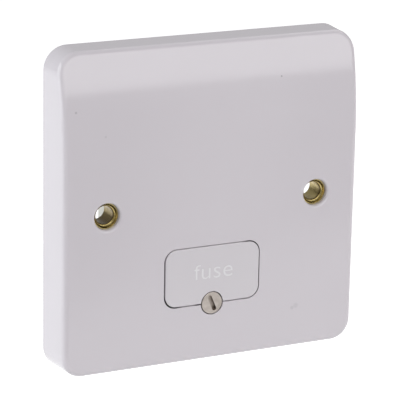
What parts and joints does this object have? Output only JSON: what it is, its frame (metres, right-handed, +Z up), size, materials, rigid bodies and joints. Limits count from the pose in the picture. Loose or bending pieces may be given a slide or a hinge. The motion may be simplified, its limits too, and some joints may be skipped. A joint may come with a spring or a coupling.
{
  "type": "fused spur unit",
  "caption": "Square wall plate with a pull-out fuse carrier held by a slotted screw, brass-lined fixing holes, and clamp terminals in a housing behind.",
  "frame": {"origin": "middle of the plate on the wall plane", "axes": "+X to the right and +Z up as seen from the front, +Y into the wall"},
  "size_m": [0.086, 0.0249, 0.086],
  "materials": {
    "plate_plastic": "gloss",
    "carrier_plastic": "gloss",
    "housing_plastic": "satin",
    "bush_brass": "turned",
    "strip_brass": "satin",
    "clamp_screw_brass": "satin",
    "plated_screw": "brushed",
    "zinc_screw": "satin",
    "fuse_ceramic": "satin",
    "fuse_cap_metal": "plated"
  },
  "bodies": {
    "unit": {"front_plate": "plate_plastic", "fixing_bush_left": "bush_brass", "fixing_bush_right": "bush_brass", "earth_strap": "strip_brass", "rear_housing": "housing_plastic", "housing_screws": "zinc_screw", "screw_insert": "strip_brass", "terminal_supply_live": "strip_brass", "terminal_supply_neutral": "strip_brass", "terminal_earth": "strip_brass", "terminal_load_neutral": "strip_brass", "terminal_load_live": "strip_brass", "fuse_contact_supply": "strip_brass", "fuse_contact_load": "strip_brass", "neutral_link": "strip_brass"},
    "carrier": {"fuse_carrier": "carrier_plastic", "fuse_body": "fuse_ceramic", "fuse_cap_left": "fuse_cap_metal", "fuse_cap_right": "fuse_cap_metal"},
    "carrier_screw": {"carrier_screw": "plated_screw"},
    "terminal_screw_supply_live": {"terminal_screw_supply_live": "clamp_screw_brass"},
    "terminal_screw_supply_neutral": {"terminal_screw_supply_neutral": "clamp_screw_brass"},
    "terminal_screw_earth_one": {"terminal_screw_earth_one": "clamp_screw_brass"},
    "terminal_screw_earth_two": {"terminal_screw_earth_two": "clamp_screw_brass"},
    "terminal_screw_load_neutral": {"terminal_screw_load_neutral": "clamp_screw_brass"},
    "terminal_screw_load_live": {"terminal_screw_load_live": "clamp_screw_brass"}
  },
  "joints": [
    {"name": "carrier_slide", "type": "slide", "parent": "unit", "child": "carrier", "axis": [0, -1, 0], "range_m": [0, 0.02]},
    {"name": "carrier_screw_turn", "type": "hinge", "parent": "carrier", "child": "carrier_screw", "pos_m": [0, -0.0119, -0.02681], "axis": [0, -1, 0], "continuous": true},
    {"name": "terminal_screw_supply_live_turn", "type": "hinge", "parent": "unit", "child": "terminal_screw_supply_live", "pos_m": [-0.019, 0.0098, 0.018], "axis": [0, 1, 0], "continuous": true},
    {"name": "terminal_screw_supply_neutral_turn", "type": "hinge", "parent": "unit", "child": "terminal_screw_supply_neutral", "pos_m": [-0.0114, 0.0098, 0.018], "axis": [0, 1, 0], "continuous": true},
    {"name": "terminal_screw_earth_one_turn", "type": "hinge", "parent": "unit", "child": "terminal_screw_earth_one", "pos_m": [-0.0038, 0.0098, 0.018], "axis": [0, 1, 0], "continuous": true},
    {"name": "terminal_screw_earth_two_turn", "type": "hinge", "parent": "unit", "child": "terminal_screw_earth_two", "pos_m": [0.0038, 0.0098, 0.018], "axis": [0, 1, 0], "continuous": true},
    {"name": "terminal_screw_load_neutral_turn", "type": "hinge", "parent": "unit", "child": "terminal_screw_load_neutral", "pos_m": [0.0114, 0.0098, 0.018], "axis": [0, 1, 0], "continuous": true},
    {"name": "terminal_screw_load_live_turn", "type": "hinge", "parent": "unit", "child": "terminal_screw_load_live", "pos_m": [0.019, 0.0098, 0.018], "axis": [0, 1, 0], "continuous": true}
  ]
}
